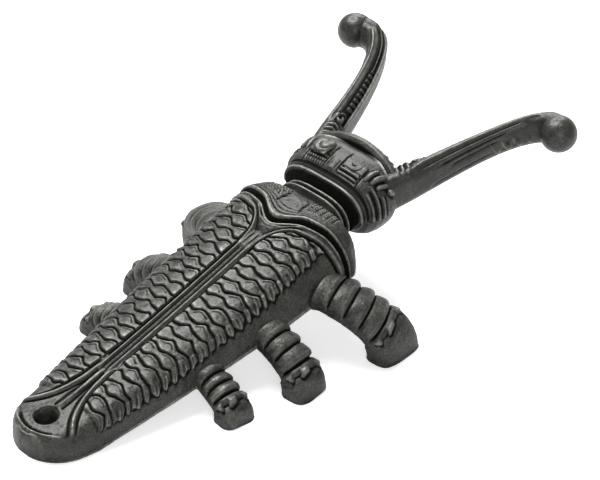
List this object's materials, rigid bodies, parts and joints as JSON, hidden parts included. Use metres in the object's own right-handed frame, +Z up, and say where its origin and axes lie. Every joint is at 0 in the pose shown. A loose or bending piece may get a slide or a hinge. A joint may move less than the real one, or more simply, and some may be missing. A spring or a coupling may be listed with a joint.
{
  "type": "boot jack",
  "caption": "Black cast-iron boot jack in the form of a beetle: scaled wing case with a hanging hole, ringed legs, and horns that grip a boot's heel.",
  "frame": {"origin": "On the floor, on the centre line, halfway between the tail tip and the front of the balls at the horns' ends.", "axes": "+Y runs from the tail to the horns, +X is the beetle's right-hand side, +Z is up."},
  "size_m": [0.1224, 0.2277, 0.0666],
  "materials": {
    "case_iron": "satin black paint over raised scales, rubbed pale on their crests",
    "head_iron": "satin black paint, rubbed pale on the carved edges",
    "horn_iron": "satin black paint, rubbed pale on the edges",
    "leg_iron": "satin black paint over a sand-cast grain"
  },
  "bodies": {
    "root": {"wing_case": "case_iron", "spine_rib": "case_iron", "shield": "case_iron", "neck": "head_iron", "head": "head_iron", "brow": "head_iron", "left_horn": "horn_iron", "right_horn": "horn_iron", "left_eye": "head_iron", "right_eye": "head_iron", "front_left_leg": "leg_iron", "front_right_leg": "leg_iron", "middle_left_leg": "leg_iron", "middle_right_leg": "leg_iron", "rear_left_leg": "leg_iron", "rear_right_leg": "leg_iron"}
  },
  "joints": []
}
